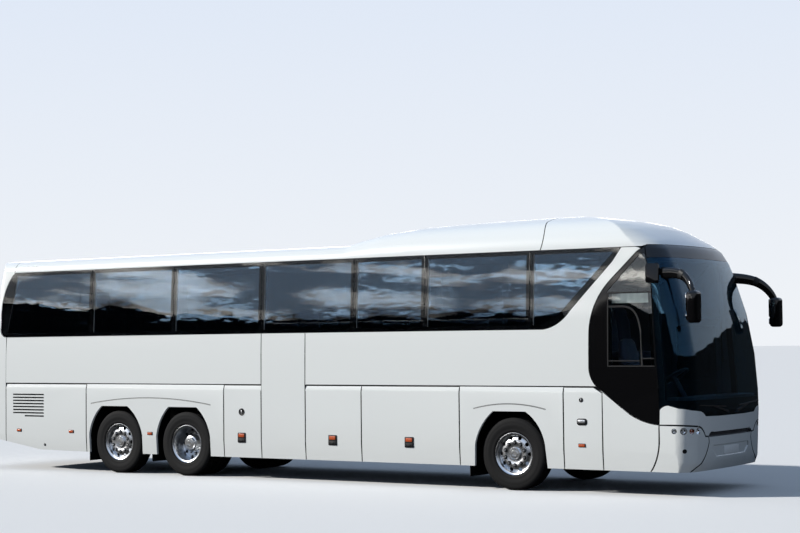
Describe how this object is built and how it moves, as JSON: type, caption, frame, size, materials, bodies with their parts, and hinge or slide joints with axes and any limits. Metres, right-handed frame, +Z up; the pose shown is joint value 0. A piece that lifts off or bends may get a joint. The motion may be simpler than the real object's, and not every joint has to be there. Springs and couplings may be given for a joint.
{
  "type": "coach bus",
  "caption": "Three-axle touring coach with hollow cabin, steered front wheels, rolling wheels and top-hinged side flaps over a through luggage hold.",
  "frame": {"origin": "middle of the whole coach, mirrors included, on the ground", "axes": "+X forward, +Y to the coach's left, +Z up"},
  "size_m": [13.6, 3.06, 3.925],
  "materials": {
    "black_trim": "moulded, matt",
    "body_white": "clear-coated gloss",
    "bright_wheel": "polished",
    "cab_black": "gloss",
    "cast_axle": "painted",
    "chassis_steel": "satin",
    "clear_glass": "clear",
    "dash_grey": "grained",
    "floor_board": "sealed",
    "hold_lining": "dull",
    "lamp_clear": "clear",
    "lamp_red": "clear gloss",
    "seat_cloth": "woven",
    "tinted_glass": "tinted",
    "tyre_rubber": "matt"
  },
  "bodies": {
    "root": {"cab_glass": "tinted_glass", "cab_side_left": "cab_black", "cab_side_right": "cab_black", "cabin_floor": "floor_board", "dashboard": "dash_grey", "drive_axle": "cast_axle", "driver_seat": "seat_cloth", "engine_block": "cast_axle", "front_axle_beam": "cast_axle", "front_bumper": "body_white", "front_door": "cab_black", "front_subframe": "chassis_steel", "head_lamps": "lamp_clear", "header": "cab_black", "lower_panels_left": "body_white", "lower_panels_right": "body_white", "luggage_hold": "hold_lining", "mirrors": "black_trim", "passenger_seats": "seat_cloth", "rear_lamps": "lamp_red", "rear_module": "body_white", "rear_subframe": "chassis_steel", "rear_window": "tinted_glass", "roof": "body_white", "roof_front_cap": "body_white", "service_lockers": "hold_lining", "side_panes": "tinted_glass", "side_wall_left": "body_white", "side_wall_right": "body_white", "tag_axle": "cast_axle", "wheel_housings": "black_trim", "windscreen": "clear_glass", "windscreen_frame": "black_trim", "wipers": "black_trim"},
    "knuckle_left": {"knuckle_left": "cast_axle"},
    "knuckle_right": {"knuckle_right": "cast_axle"},
    "track_rod": {"track_rod": "cast_axle"},
    "wheel_front_left": {"wheel_front_left": "bright_wheel", "tyre_front_left": "tyre_rubber"},
    "wheel_tag_left": {"wheel_tag_left": "bright_wheel", "tyre_tag_left": "tyre_rubber"},
    "wheel_drive_left": {"wheel_drive_left": "bright_wheel", "tyres_drive_left": "tyre_rubber"},
    "wheel_front_right": {"wheel_front_right": "bright_wheel", "tyre_front_right": "tyre_rubber"},
    "wheel_tag_right": {"wheel_tag_right": "bright_wheel", "tyre_tag_right": "tyre_rubber"},
    "wheel_drive_right": {"wheel_drive_right": "bright_wheel", "tyres_drive_right": "tyre_rubber"},
    "flap_front_service_left": {"flap_front_service_left": "body_white"},
    "flap_hold_front_left": {"flap_hold_front_left": "body_white"},
    "flap_hold_rear_left": {"flap_hold_rear_left": "body_white"},
    "flap_rear_service_left": {"flap_rear_service_left": "body_white"},
    "flap_engine_side_left": {"flap_engine_side_left": "body_white"},
    "flap_front_service_right": {"flap_front_service_right": "body_white"},
    "flap_hold_front_right": {"flap_hold_front_right": "body_white"},
    "flap_hold_rear_right": {"flap_hold_rear_right": "body_white"},
    "flap_rear_service_right": {"flap_rear_service_right": "body_white"},
    "flap_engine_side_right": {"flap_engine_side_right": "body_white"},
    "engine_door": {"engine_door": "body_white"}
  },
  "joints": [
    {"name": "steering_left", "type": "hinge", "parent": "root", "child": "knuckle_left", "pos_m": [3.78, 0.88, 0.515], "axis": [0, 0, 1], "range_deg": [-48, 48]},
    {"name": "steering_right", "type": "hinge", "parent": "root", "child": "knuckle_right", "pos_m": [3.78, -0.88, 0.515], "axis": [0, 0, 1], "range_deg": [-48, 48]},
    {"name": "track_rod_pivot", "type": "hinge", "parent": "knuckle_left", "child": "track_rod", "pos_m": [3.58, 0.88, 0.385], "axis": [0, 0, 1], "range_deg": [-48, 48]},
    {"name": "roll_front_left", "type": "hinge", "parent": "knuckle_left", "child": "wheel_front_left", "pos_m": [3.78, 1.065, 0.515], "axis": [0, 1, 0], "continuous": true},
    {"name": "roll_tag_left", "type": "hinge", "parent": "root", "child": "wheel_tag_left", "pos_m": [-3.75, 1.065, 0.515], "axis": [0, 1, 0], "continuous": true},
    {"name": "roll_drive_left", "type": "hinge", "parent": "root", "child": "wheel_drive_left", "pos_m": [-2.28, 0.9075, 0.515], "axis": [0, 1, 0], "continuous": true},
    {"name": "roll_front_right", "type": "hinge", "parent": "knuckle_right", "child": "wheel_front_right", "pos_m": [3.78, -1.065, 0.515], "axis": [0, 1, 0], "continuous": true},
    {"name": "roll_tag_right", "type": "hinge", "parent": "root", "child": "wheel_tag_right", "pos_m": [-3.75, -1.065, 0.515], "axis": [0, 1, 0], "continuous": true},
    {"name": "roll_drive_right", "type": "hinge", "parent": "root", "child": "wheel_drive_right", "pos_m": [-2.28, -0.9075, 0.515], "axis": [0, 1, 0], "continuous": true},
    {"name": "open_front_service_left", "type": "hinge", "parent": "root", "child": "flap_front_service_left", "pos_m": [4.93, 1.25, 1.456], "axis": [1, 0, 0], "range_deg": [0, 95]},
    {"name": "open_hold_front_left", "type": "hinge", "parent": "root", "child": "flap_hold_front_left", "pos_m": [2.08, 1.25, 1.456], "axis": [1, 0, 0], "range_deg": [0, 95]},
    {"name": "open_hold_rear_left", "type": "hinge", "parent": "root", "child": "flap_hold_rear_left", "pos_m": [0.68, 1.25, 1.456], "axis": [1, 0, 0], "range_deg": [0, 95]},
    {"name": "open_rear_service_left", "type": "hinge", "parent": "root", "child": "flap_rear_service_left", "pos_m": [-1.07, 1.25, 1.456], "axis": [1, 0, 0], "range_deg": [0, 95]},
    {"name": "open_engine_side_left", "type": "hinge", "parent": "root", "child": "flap_engine_side_left", "pos_m": [-5.37, 1.25, 1.456], "axis": [1, 0, 0], "range_deg": [0, 95]},
    {"name": "open_front_service_right", "type": "hinge", "parent": "root", "child": "flap_front_service_right", "pos_m": [4.93, -1.25, 1.456], "axis": [-1, 0, 0], "range_deg": [0, 95]},
    {"name": "open_hold_front_right", "type": "hinge", "parent": "root", "child": "flap_hold_front_right", "pos_m": [2.08, -1.25, 1.456], "axis": [-1, 0, 0], "range_deg": [0, 95]},
    {"name": "open_hold_rear_right", "type": "hinge", "parent": "root", "child": "flap_hold_rear_right", "pos_m": [0.68, -1.25, 1.456], "axis": [-1, 0, 0], "range_deg": [0, 95]},
    {"name": "open_rear_service_right", "type": "hinge", "parent": "root", "child": "flap_rear_service_right", "pos_m": [-1.07, -1.25, 1.456], "axis": [-1, 0, 0], "range_deg": [0, 95]},
    {"name": "open_engine_side_right", "type": "hinge", "parent": "root", "child": "flap_engine_side_right", "pos_m": [-5.37, -1.25, 1.456], "axis": [-1, 0, 0], "range_deg": [0, 95]},
    {"name": "open_engine_door", "type": "hinge", "parent": "root", "child": "engine_door", "pos_m": [-6.792, 0, 1.544], "axis": [0, 1, 0], "range_deg": [0, 75]}
  ],
  "couplings": [
    {"joint": "steering_right", "follows": "steering_left", "ratio": 1},
    {"joint": "track_rod_pivot", "follows": "steering_left", "ratio": -1}
  ]
}
